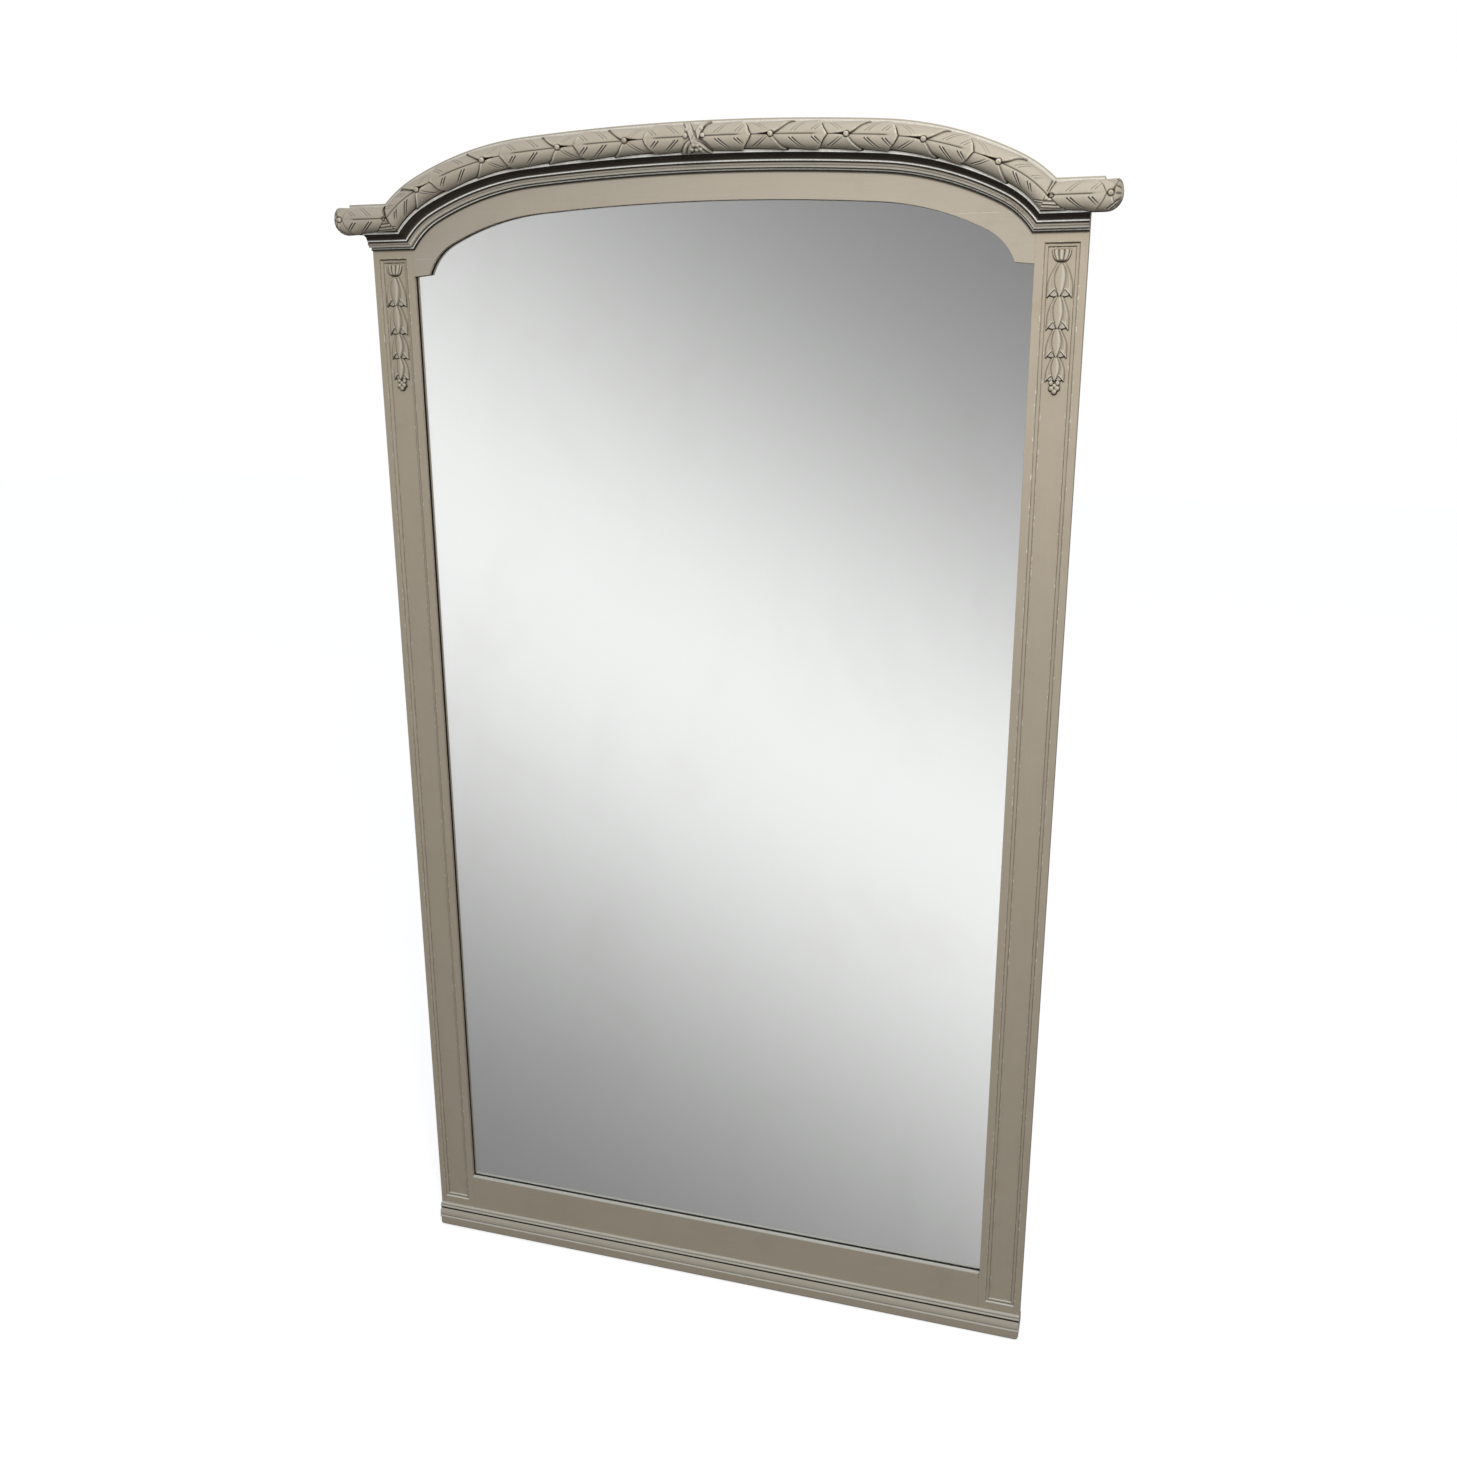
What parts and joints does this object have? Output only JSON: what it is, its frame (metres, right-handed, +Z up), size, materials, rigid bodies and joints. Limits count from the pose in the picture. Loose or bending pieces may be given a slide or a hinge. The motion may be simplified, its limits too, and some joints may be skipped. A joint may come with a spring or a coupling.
{
  "type": "trumeau mirror",
  "caption": "Tall wall mirror with a painted wooden frame, an arched crest carved with a laurel garland, husk drops on the stiles and a panelled back.",
  "frame": {"origin": "underside of the plinth, in the middle of its width, on the plane where the front frame meets the panelled back", "axes": "+X to the viewer's right, +Z up, front of the mirror towards -Y"},
  "size_m": [1.0772, 0.0976, 1.765],
  "materials": {
    "painted_wood": "satin grey-beige paint, lightly brushed, rubbed and chipped along the arrises",
    "painted_carving": "satin grey-beige paint over carved wood, darker in the hollows",
    "bare_pine": "aged, unpainted softwood",
    "beech_pegs": "bare hardwood",
    "cork": "granular cork",
    "steel_screws": "dull, slightly tarnished",
    "zinc_plated_steel": "zinc-plated, slightly tarnished",
    "clear_glass": "polished plate",
    "silver_backing": "silvered, grey paint behind"
  },
  "bodies": {
    "frame": {"left_stile": "painted_wood", "right_stile": "painted_wood", "bottom_rail": "painted_wood", "left_haunch_block": "painted_wood", "right_haunch_block": "painted_wood", "arched_board": "painted_wood", "base_moulding": "painted_wood", "base_plinth": "painted_wood", "arch_cornice": "painted_wood", "arch_crest_board": "painted_wood", "left_shoulder_cornice": "painted_wood", "right_shoulder_cornice": "painted_wood", "left_shoulder_crest_board": "painted_wood", "right_shoulder_crest_board": "painted_wood", "left_arch_garland": "painted_carving", "right_arch_garland": "painted_carving", "left_shoulder_garland": "painted_carving", "right_shoulder_garland": "painted_carving", "garland_berries": "painted_carving", "crossed_ribbon": "painted_carving", "ribbon_berries": "painted_carving", "left_husk_drop": "painted_carving", "right_husk_drop": "painted_carving", "back_left_stile": "bare_pine", "back_right_stile": "bare_pine", "back_top_rail": "bare_pine", "back_upper_middle_rail": "bare_pine", "back_lower_middle_rail": "bare_pine", "back_bottom_rail": "bare_pine", "back_bottom_panel": "bare_pine", "back_middle_panel": "bare_pine", "back_top_panel": "bare_pine", "glass_blocks": "bare_pine", "frame_dowels": "beech_pegs", "back_pegs": "beech_pegs", "setting_pads": "cork", "wall_pads": "cork", "base_screws": "steel_screws", "back_screws": "steel_screws", "hanger_screws": "steel_screws", "left_hanger_plate": "zinc_plated_steel", "right_hanger_plate": "zinc_plated_steel", "mirror_glass": "clear_glass", "silvering": "silver_backing"},
    "left_ring": {"left_hanger_ring": "zinc_plated_steel"},
    "right_ring": {"right_hanger_ring": "zinc_plated_steel"}
  },
  "joints": [
    {"name": "left_ring_swing", "type": "hinge", "parent": "frame", "child": "left_ring", "pos_m": [-0.453, 0.02213, 1.54], "axis": [1, 0, 0], "range_deg": [0, 180]},
    {"name": "right_ring_swing", "type": "hinge", "parent": "frame", "child": "right_ring", "pos_m": [0.453, 0.02213, 1.54], "axis": [1, 0, 0], "range_deg": [0, 180]}
  ]
}
